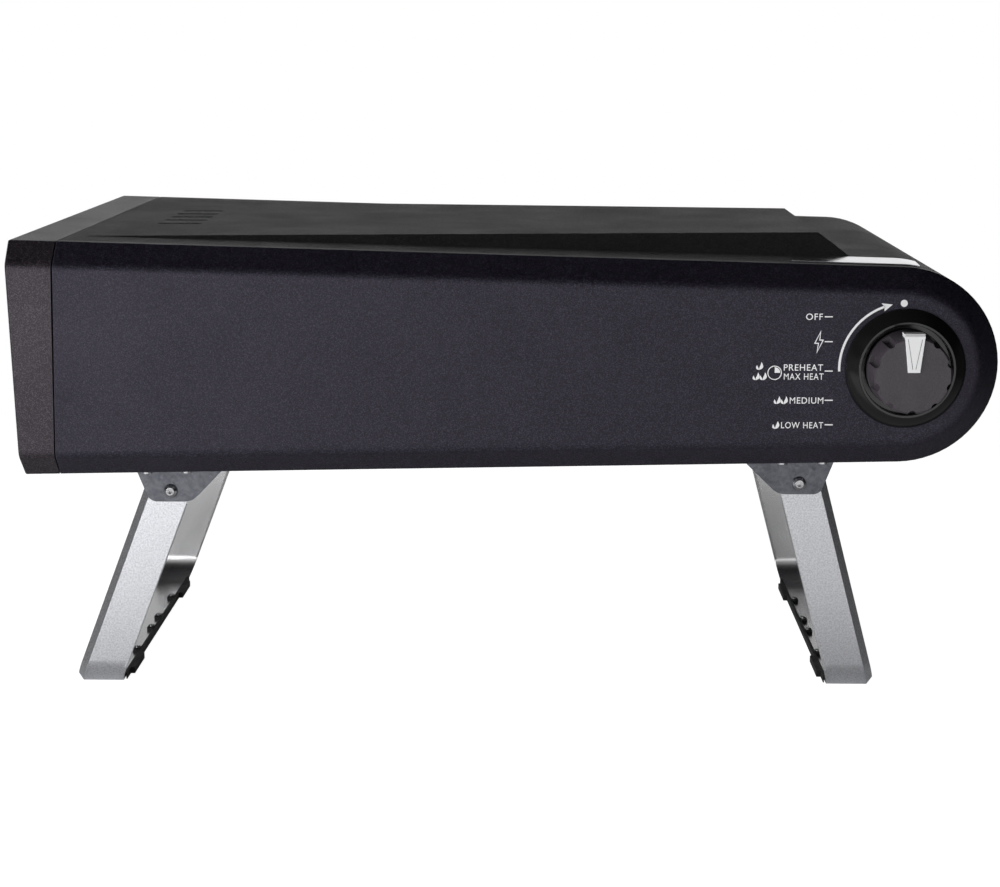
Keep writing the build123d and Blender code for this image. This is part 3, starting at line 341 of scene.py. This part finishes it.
def fired_stone(name):
    """Cordierite: sandy beige body with dark and pale grains, open pores and a few baked-on stains."""
    stone = Finish(name, (0.60, 0.50, 0.37), 0.88)
    stone.rounded(0.0015)
    sand = stone.noise(0.0012, detail=5.0, roughness=0.7)
    patch = stone.noise(0.05, detail=5.0, warp=0.9)
    grain = stone.cells(0.0019)
    base = stone.blend(stone.remap(sand, 0.35, 0.65), (0.46, 0.37, 0.26), (0.68, 0.58, 0.45))
    base = stone.blend(stone.remap(grain, 0.93, 0.97), base, (0.16, 0.11, 0.08))
    base = stone.blend(stone.remap(patch, 0.55, 0.78, 0.0, 0.65), base, (0.22, 0.14, 0.08))
    stone.set("Base Color", base)
    stone.bump(sand, 0.0003, 0.7)
    stone.bump(stone.remap(grain, 0.90, 1.0, 1.0, 0.0), 0.0003, 0.5)
    return stone.material


def fibre_blanket(name):
    """Ceramic wool: matted white fibres."""
    wool = Finish(name, (0.82, 0.80, 0.75), 0.95)
    fibre = wool.noise(0.0016, detail=6.0, roughness=0.75, place=wool.stretched((0.3, 1.0, 1.0)), warp=1.5)
    wool.set("Base Color", wool.blend(wool.remap(fibre, 0.3, 0.7), (0.62, 0.60, 0.55), (0.90, 0.88, 0.84)))
    wool.bump(fibre, 0.0012, 0.8)
    return wool.material


def printed_ink(name):
    """Screen-printed white: slightly uneven, dulled by the paint's grain below it."""
    ink = Finish(name, (0.83, 0.83, 0.84), 0.55)
    grain = ink.noise(0.0006, detail=3.0, roughness=0.6)
    ink.set("Base Color", ink.blend(ink.remap(grain, 0.25, 0.6), (0.84, 0.84, 0.86), (0.96, 0.96, 0.97)))
    ink.set("Roughness", ink.remap(grain, 0.3, 0.7, 0.5, 0.64))
    ink.bump(grain, 0.00006)
    return ink.material


FINISHES = {
    "cover_paint": powder_coat(
        "cover_paint", (0.010, 0.0096, 0.0112), (0.090, 0.086, 0.094), 0.50, 1.8, sheen=(0.97, 0.93, 1.0)
    ),
    "panel_paint": powder_coat(
        "panel_paint", (0.0045, 0.0040, 0.0070), (0.036, 0.032, 0.047), 0.42, 1.0, sheen=(0.86, 0.80, 1.0)
    ),
    "bezel_paint": powder_coat(
        "bezel_paint", (0.0070, 0.0058, 0.0080), (0.060, 0.050, 0.060), 0.37, 1.0, sheen=(0.96, 0.87, 0.97)
    ),
    "bright_trim": sheet_metal(
        "bright_trim", (0.40, 0.40, 0.43), 0.11, grain=0.25, direction=(0.03, 1.0, 1.0)
    ),
    "liner_steel": sheet_metal(
        "liner_steel", (0.58, 0.57, 0.55), 0.32, direction=(0.04, 1.0, 1.0), stain=(0.34, 0.24, 0.15)
    ),
    "galvanised_steel": galvanised("galvanised_steel", (0.12, 0.125, 0.142), (0.185, 0.19, 0.212)),
    "cordierite": fired_stone("cordierite"),
    "ceramic_wool": fibre_blanket("ceramic_wool"),
    "burner_steel": heat_tinted("burner_steel"),
    "valve_alloy": sheet_metal("valve_alloy", (0.60, 0.60, 0.61), 0.38, grain=1.2),
    "brass": machined("brass", (0.78, 0.56, 0.24), 0.28),
    "screw_steel": machined("screw_steel", (0.62, 0.62, 0.64), 0.2),
    "knob_plastic": moulded("knob_plastic", (0.050, 0.043, 0.052), 0.40, grain_depth=0.00005, mottle=0.35),
    "pointer_white": moulded("pointer_white", (0.92, 0.92, 0.93), 0.32, mottle=0.04),
    "gloss_black": moulded("gloss_black", (0.006, 0.006, 0.0065), 0.13, grain_depth=0.000003),
    "leg_steel": leg_sheet("leg_steel", (0.92, 0.93, 0.97), blasted=0.40, smooth=0.24),
    "foot_rubber": moulded(
        "foot_rubber", (0.013, 0.013, 0.014), 0.66, grain_depth=0.00012, grain_size=0.0007
    ),
    "bush_plastic": moulded("bush_plastic", (0.70, 0.69, 0.64), 0.45),
    "white_ceramic": moulded("white_ceramic", (0.80, 0.78, 0.74), 0.25, coat=0.5, mottle=0.06),
    "lead_rubber": moulded("lead_rubber", (0.30, 0.035, 0.025), 0.5),
}
INK = printed_ink("dial_ink")
POINTER_GREY = moulded("pointer_grey", (0.22, 0.22, 0.24), 0.4)


def dress_cad_nodes():
    """Gives each CAD node the finish that its record slot names."""
    for node in nodes.values():
        for place in node.material_slots:
            place.material = FINISHES[place.material.name.split(".")[0]]


# ------------------------------------------------------------------ printed marks on the side panel
INK_DEPTH = 0.05 * MM
FACING_OUT = Matrix.Rotation(math.pi / 2, 4, "X")    # a flat drawing's x, y become X, Z, facing -Y


def arc(centre, radius, start, end, steps=24):
    """Points along an arc, angles in degrees from +X towards +Z."""
    x, z = centre
    turns = [math.radians(start + (end - start) * i / steps) for i in range(steps + 1)]
    return [(x + radius * math.cos(t), z + radius * math.sin(t)) for t in turns]


def print_loops(name, loops, y=FACE_Y, body="casing", finish=INK):
    """Flat raised ink with closed outlines in X, Z; an outline inside another is a hole."""
    drawing = bpy.data.curves.new(name, "CURVE")
    drawing.dimensions = "2D"
    drawing.fill_mode = "BOTH"
    drawing.extrude = INK_DEPTH
    for loop in loops:
        spline = drawing.splines.new("POLY")
        spline.points.add(len(loop) - 1)
        for point, (x, z) in zip(spline.points, loop):
            point.co = (x, z, 0.0, 1.0)
        spline.use_cyclic_u = True
    return lay_flat(name, drawing, y, body, finish)


def lay_flat(name, drawing, y, body, finish, move=(0.0, 0.0), stretch=(1.0, 1.0)):
    """Turns a flat curve or text into a mesh standing on the plane at y."""
    holder = bpy.data.objects.new(name, drawing)
    bpy.context.scene.collection.objects.link(holder)
    bpy.context.view_layer.update()
    mesh = bpy.data.meshes.new_from_object(holder)
    bpy.data.objects.remove(holder)
    mesh.transform(Matrix.Diagonal((stretch[0], stretch[1], 1.0, 1.0)))
    mesh.transform(Matrix.Translation((move[0], y, move[1])) @ FACING_OUT)
    mesh.materials.clear()
    mesh.materials.append(finish)
    mark = bpy.data.objects.new(name, mesh)
    bpy.context.scene.collection.objects.link(mark)
    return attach(mark, body)


LETTER_WEIGHT = 0.004    # outlines grow by this share of the type size
LETTER_SPACE = 1.12


def print_words(name, words, left, right, low, high):
    """One line of capitals that fills the given space from left to right and low to high."""
    text = bpy.data.curves.new(name, "FONT")
    text.body = words
    text.size = 1.0
    text.offset = LETTER_WEIGHT
    text.space_character = LETTER_SPACE
    holder = bpy.data.objects.new(name, text)
    bpy.context.scene.collection.objects.link(holder)
    bpy.context.view_layer.update()
    corners = [Vector(c) for c in holder.bound_box]
    bpy.data.objects.remove(holder)
    first, last = min(c.x for c in corners), max(c.x for c in corners)
    base, top = min(c.y for c in corners), max(c.y for c in corners)
    wide, tall = (right - left) / (last - first), (high - low) / (top - base)
    text.extrude = INK_DEPTH
    place = (left - first * wide, low - base * tall)
    return lay_flat(name, text, FACE_Y, "casing", INK, move=place, stretch=(wide, tall))


def leaf(base, tip, width, sway, steps=8):
    """A pointed leaf from base to tip: width across its belly, sway to one side."""
    (x0, z0), (x1, z1) = base, tip
    across = (z0 - z1, x1 - x0)
    sides = ([], [])
    for i in range(steps + 1):
        t = i / steps
        for side, half in zip(sides, (0.5 * width, -0.5 * width)):
            out = sway * math.sin(math.pi * t) + half * math.sin(math.pi * t**0.75)
            side.append((x0 + t * (x1 - x0) + out * across[0], z0 + t * (z1 - z0) + out * across[1]))
    return sides[0] + sides[1][-2:0:-1]


def flame(x, z, height):
    """A small tongue and a tall one growing from the same foot."""
    small = leaf((x - 0.04 * height, z), (x - 0.26 * height, z + 0.62 * height), 0.42, 0.16)
    tall = leaf((x + 0.02 * height, z), (x + 0.30 * height, z + height), 0.40, -0.16)
    return [small, tall]


def stroked(corners, width, reach):
    """Two outlines either side of a closed line, for a drawn border.

    Sharp corners stop at `reach` from the line.
    """
    outlines = ([], [])
    count = len(corners)
    turn = sum(
        corners[i][0] * corners[(i + 1) % count][1] - corners[(i + 1) % count][0] * corners[i][1]
        for i in range(count)
    )
    for i, (x, z) in enumerate(corners):
        before, after = Vector(corners[i - 1]), Vector(corners[(i + 1) % count])
        here = Vector((x, z))
        first, second = (here - before).normalized(), (after - here).normalized()
        normal = Vector((first.y + second.y, -first.x - second.x)).normalized() * math.copysign(1.0, turn)
        sharp = max(abs(normal.dot(Vector((first.y, -first.x)))), 1e-6)
        for outline, way in zip(outlines, (1.0, -1.0)):
            step = min(width / 2 / sharp, reach)
            outline.append(tuple(here + normal * way * step))
    return list(outlines)


def pointer_marks():
    """Two fine grey lines down the pointer, meeting near the knob's centre like a narrow V."""
    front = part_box("knob_pointer")[0].y
    half = 0.16 * MM
    outer_end, inner_end = (4.3 * MM, 22.6 * MM), (0.9 * MM, 4.2 * MM)    # beside and above the knob's axis
    lines = []
    for side in (-1, 1):
        (top_x, top_z), (low_x, low_z) = ((side * x, z) for x, z in (outer_end, inner_end))
        edge = ((top_x - half, top_z), (top_x + half, top_z), (low_x + half, low_z), (low_x - half, low_z))
        lines.append([(AXIS_X + x, AXIS_Z + z) for x, z in edge])
    print_loops("pointer_lines", lines, y=front, body="knob", finish=POINTER_GREY)


def row_shift(up):
    """How far a printed row at height `up` stands to the right: more for each lower row; all in mm."""
    return 0.4 - 0.028 * up


def dial_marks():
    """Positions, words and symbols left of the knob, and the turning arrow with its dot.

    Places are millimetres to the right of the knob's axis and above it.
    """
    x0, z0 = AXIS_X, AXIS_Z
    tick_left, tick_right, tick_half = -50.4, -45.4, 0.35
    rows = {"off": 32.2, "spark": 16.6, "preheat": -1.9, "medium": -20.4, "low": -36.0}
    for label, up in rows.items():
        z = z0 + up * MM
        low, high = z - tick_half * MM, z + tick_half * MM
        left, right = (x0 + (edge + row_shift(up)) * MM for edge in (tick_left, tick_right))
        print_loops(f"dial_tick_{label}", [[(left, low), (right, low), (right, high), (left, high)]])
    letter_height = 4.0
    words = (    # name, text, left edge, right edge, foot of the letters
        ("dial_off", "OFF", -62.0, -51.6, 30.2),
        ("dial_preheat", "PREHEAT", -75.9, -51.5, -1.7),
        ("dial_max_heat", "MAX HEAT", -75.9, -51.2, -7.4),
        ("dial_medium", "MEDIUM", -72.3, -51.3, -22.6),
        ("dial_low_heat", "LOW HEAT", -77.7, -51.4, -38.3),
    )
    for name, text, left, right, base in words:
        low = z0 + base * MM
        left, right = (x0 + (edge + row_shift(base)) * MM for edge in (left, right))
        print_words(name, text, left, right, low, low + letter_height * MM)
    flames = {    # foot of each flame, and its height
        "dial_flames_high": ((-91.3, -1.3, 5.0), (-93.5, -7.8, 5.0), (-89.1, -7.8, 5.0)),
        "dial_flames_medium": ((-80.4, -22.9, 5.0), (-76.0, -22.9, 5.0)),
        "dial_flame_low": ((-81.4, -38.7, 5.0),),
    }
    for name, places in flames.items():
        loops = [
            tongue
            for x, z, height in places
            for tongue in flame(x0 + (x + row_shift(z)) * MM, z0 + z * MM, height * MM)
        ]
        print_loops(name, loops)
    # clock: a ring with its first quarter filled
    clock = (x0 - 81.1 * MM, z0 - 3.1 * MM)
    clock_outer, clock_inner, clock_quarter = 4.5 * MM, 3.95 * MM, 3.5 * MM
    quarter = [clock] + arc(clock, clock_quarter, 0, 90, steps=8)
    rings = [arc(clock, radius, 0, 352, 44) for radius in (clock_outer, clock_inner)]
    print_loops("dial_clock", [*rings, quarter])
    # lightning bolt, drawn as a line round its outline
    bolt = [(0.9, 6.4), (-2.6, -0.9), (-0.3, -0.9), (-1.1, -6.4), (2.6, 1.1), (0.4, 1.1)]
    bolt_x, bolt_z, bolt_line, bolt_reach = -54.0, 16.5, 0.62 * MM, 0.9 * MM
    corners = [(x0 + (a + bolt_x) * MM, z0 + (b + bolt_z) * MM) for a, b in bolt]
    print_loops("dial_bolt", stroked(corners, bolt_line, bolt_reach))
    # turning arrow round the knob, a dot at its end
    ring = 41.0 * MM
    half, barb = 0.72 * MM, 2.7 * MM
    start, end = 183.0, 109.6                          # degrees from +X towards +Z, as are the head's
    tip_turn, barb_turn, notch_turn = 102.8, 111.4, 110.2
    shaft = arc((x0, z0), ring + half, start, end, 40) + arc((x0, z0), ring - half, end, start, 40)
    tip = arc((x0, z0), ring, tip_turn, tip_turn, 1)[0]
    barbs = [arc((x0, z0), ring + side * barb, barb_turn, barb_turn, 1)[0] for side in (1, -1)]
    notch = arc((x0, z0), ring, notch_turn, notch_turn, 1)[0]
    print_loops("dial_arrow", [shaft])
    print_loops("dial_arrow_head", [[tip, barbs[0], notch, barbs[1]]])
    print_loops("dial_dot", [arc((x0 - 2.0 * MM, z0 + 40.7 * MM), 2.2 * MM, 0, 350, 35)])


def return_spring():
    """The valve's return spring as a coil of wire in place of the CAD spring."""
    low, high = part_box("valve_spring")
    wire, turns, per_turn, sides = 0.35 * MM, 4, 28, 10
    radius = (high.x - low.x) / 2 - wire
    start, end = low.y + wire, high.y - wire
    steps = turns * per_turn
    points, faces = [], []
    for i in range(steps + 1):
        turn = math.tau * i / per_turn
        y = start + (end - start) * i / steps
        for k in range(sides):
            around = math.tau * k / sides
            out = radius + wire * math.cos(around)
            x, z = AXIS_X + out * math.cos(turn), AXIS_Z + out * math.sin(turn)
            points.append((x, y + wire * math.sin(around), z))
            if i < steps:
                here, beside = i * sides + k, i * sides + (k + 1) % sides
                faces.append((here, beside, beside + sides, here + sides))
    faces.append(tuple(range(sides)))
    faces.append(tuple(steps * sides + k for k in reversed(range(sides))))
    mesh = bpy.data.meshes.new("return_spring")
    mesh.from_pydata(points, [], faces)
    shape = bmesh.new()
    shape.from_mesh(mesh)
    bmesh.ops.recalc_face_normals(shape, faces=shape.faces)
    shape.to_mesh(mesh)
    shape.free()
    for face in mesh.polygons:
        face.use_smooth = len(face.vertices) == 4
    mesh.materials.append(FINISHES["screw_steel"])
    spring = bpy.data.objects.new("return_spring", mesh)
    bpy.context.scene.collection.objects.link(spring)
    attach(spring, "casing")
    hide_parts("valve_spring")
    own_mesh(spring)


# ------------------------------------------------------------------ floor, light and camera
FLOOR_R = 1.1
FLOOR_DROP = 0.0002    # the floor lies this far below the feet


def floor_material():
    """Pale, evenly lit surface that fades out at its rim, so that no edge shows."""
    pale = Finish("floor_pale", (0.86, 0.86, 0.87), 0.9)
    speck = pale.noise(0.004, detail=4.0)
    pale.set("Base Color", pale.blend(speck, (0.70, 0.70, 0.705), (0.72, 0.72, 0.725)))
    pale.surface.inputs["Emission Color"].default_value = (1.0, 1.0, 1.0, 1.0)
    seen = pale.add("ShaderNodeLightPath").outputs["Is Camera Ray"]
    # to the eye it is white; as a lamp it is weak, but brighter in a band just in front of the legs
    where = pale.add("ShaderNodeSeparateXYZ")
    pale.tree.links.new(pale.place, where.inputs["Vector"])
    near_start, near_full, far_full, far_end = -0.24, -0.28, -0.46, -0.56
    weak, strong = 0.08, 0.42
    near = pale.remap(where.outputs["Y"], near_start, near_full)
    far = pale.remap(where.outputs["Y"], far_end, far_full)
    lamp = pale.remap(pale.maths("MULTIPLY", near, far), 0.0, 1.0, weak, strong)
    unseen = pale.remap(seen, 0.0, 1.0, 1.0, 0.0)
    glow = pale.maths("ADD", pale.maths("MULTIPLY", seen, 0.98), pale.maths("MULTIPLY", unseen, lamp))
    pale.set("Emission Strength", glow)
    pale.bump(speck, 0.00005)
    length = pale.add("ShaderNodeVectorMath", operation="LENGTH")
    pale.tree.links.new(pale.place, length.inputs[0])
    opaque = pale.remap(length.outputs["Value"], FLOOR_R * 0.45, FLOOR_R, 1.0, 0.0)
    below = pale.add("ShaderNodeNewGeometry").outputs["Backfacing"]
    pale.set("Alpha", pale.maths("MULTIPLY", opaque, pale.remap(below, 0.0, 1.0, 1.0, 0.0)))
    return pale.material


def make_floor():
    rim = 96
    turns = [math.tau * i / rim for i in range(rim)]
    points = [(FLOOR_R * math.cos(turn), FLOOR_R * math.sin(turn), 0.0) for turn in turns]
    mesh = bpy.data.meshes.new("floor")
    mesh.from_pydata(points, [], [tuple(range(rim))])
    mesh.materials.append(floor_material())
    floor = bpy.data.objects.new("floor", mesh)
    floor.location = (MIDDLE.x, MIDDLE.y, -FLOOR_DROP)
    bpy.context.scene.collection.objects.link(floor)


def make_world():
    """A light tent, white all round to the eye.

    Its light is strong behind and low in front, and weak at the sides.
    """
    world = bpy.data.worlds.new("studio")
    bpy.context.scene.world = world
    world.use_nodes = True
    tree = world.node_tree
    tree.nodes.clear()

    def add(kind, **settings):
        node = tree.nodes.new(kind)
        for key, value in settings.items():
            setattr(node, key, value)
        return node

    def ramp(source, stops):
        node = add("ShaderNodeValToRGB")
        tree.links.new(source, node.inputs["Fac"])
        band = node.color_ramp
        for _ in stops[2:]:
            band.elements.new(0.5)
        for element, (position, value) in zip(band.elements, stops):
            element.position = position
            element.color = (value, value, value, 1.0)
        return node.outputs["Color"]

    def maths(operation, first, second):
        node = add("ShaderNodeMath", operation=operation)
        for socket, value in zip(node.inputs, (first, second)):
            if isinstance(value, bpy.types.NodeSocket):
                tree.links.new(value, socket)
            else:
                socket.default_value = value
        return node.outputs["Value"]

    split = add("ShaderNodeSeparateXYZ")
    tree.links.new(add("ShaderNodeTexCoord").outputs["Generated"], split.inputs["Vector"])
    # each direction component runs from -1 to 1, and a ramp needs 0 to 1
    across, along, up = (maths("MULTIPLY_ADD", split.outputs[k], 0.5) for k in "XYZ")
    for value in (across, along, up):
        value.node.inputs[2].default_value = 0.5
    # pairs of place, from 0 to 1 with the horizon at 0.5, and brightness there
    behind = ramp(up, ((0.45, 1.05), (0.58, 1.05), (0.66, 0.12), (0.85, 0.02)))
    before = ramp(up, ((0.25, 0.95), (0.42, 1.35), (0.50, 1.30), (0.60, 0.14), (0.72, 0.26), (0.82, 0.02)))
    facing = ramp(along, ((0.35, 0.0), (0.62, 1.0)))
    sides = ramp(across, ((0.05, 0.14), (0.24, 1.0), (0.70, 1.0), (0.84, 0.03)))
    mix = add("ShaderNodeMix", data_type="RGBA")
    tree.links.new(facing, mix.inputs["Factor"])
    tree.links.new(before, mix.inputs[MIX_FIRST])
    tree.links.new(behind, mix.inputs[MIX_SECOND])
    shade = add("ShaderNodeMix", data_type="RGBA", blend_type="MULTIPLY")
    shade.inputs["Factor"].default_value = 1.0
    tree.links.new(mix.outputs[MIX_RESULT], shade.inputs[MIX_FIRST])
    tree.links.new(sides, shade.inputs[MIX_SECOND])
    lit = add("ShaderNodeBackground")
    tree.links.new(shade.outputs[MIX_RESULT], lit.inputs["Color"])
    seen = add("ShaderNodeBackground")
    seen.inputs["Color"].default_value = (1.0, 1.0, 1.0, 1.0)
    choose = add("ShaderNodeMixShader")
    tree.links.new(add("ShaderNodeLightPath").outputs["Is Camera Ray"], choose.inputs["Fac"])
    tree.links.new(lit.outputs["Background"], choose.inputs[1])
    tree.links.new(seen.outputs["Background"], choose.inputs[2])
    tree.links.new(choose.outputs["Shader"], add("ShaderNodeOutputWorld").inputs["Surface"])


LIGHT_AIM = (-0.1, -0.1, 0.2)


def soft_box(name, place, size, power, mirrored=True):
    """A rectangular lamp in watts, aimed at the casing. Glossy surfaces show it when `mirrored`."""
    light = bpy.data.lights.new(name, "AREA")
    light.shape = "RECTANGLE"
    light.size, light.size_y = size
    light.energy = power
    box = bpy.data.objects.new(name, light)
    box.location = place
    box.rotation_euler = (Vector(LIGHT_AIM) - Vector(place)).to_track_quat("-Z", "Y").to_euler()
    box.visible_camera = False
    box.visible_glossy = mirrored
    bpy.context.scene.collection.objects.link(box)


def make_camera():
    """Eye above the oven's top on its knob side, looking slightly down and towards the mouth."""
    looking_down, turned = 0.191, 0.018    # radians
    camera = bpy.data.cameras.new("camera")
    camera.sensor_width = 36.0
    camera.lens = 76.03
    eye = bpy.data.objects.new("camera", camera)
    eye.location = (0.0219, -1.490, 0.4301)
    eye.rotation_euler = (math.pi / 2 - looking_down, 0.0, turned)
    bpy.context.scene.collection.objects.link(eye)
    bpy.context.scene.camera = eye


dress_cad_nodes()
dial_marks()
pointer_marks()
return_spring()
make_floor()
make_world()
soft_box("left_front_box", (-1.1, -1.7, 0.30), (0.7, 0.5), 7.0)
soft_box("far_left_box", (-2.3, -1.05, 0.30), (0.7, 0.9), 54.0, mirrored=False)
make_camera()
bpy.context.scene.view_settings.view_transform = "Standard"
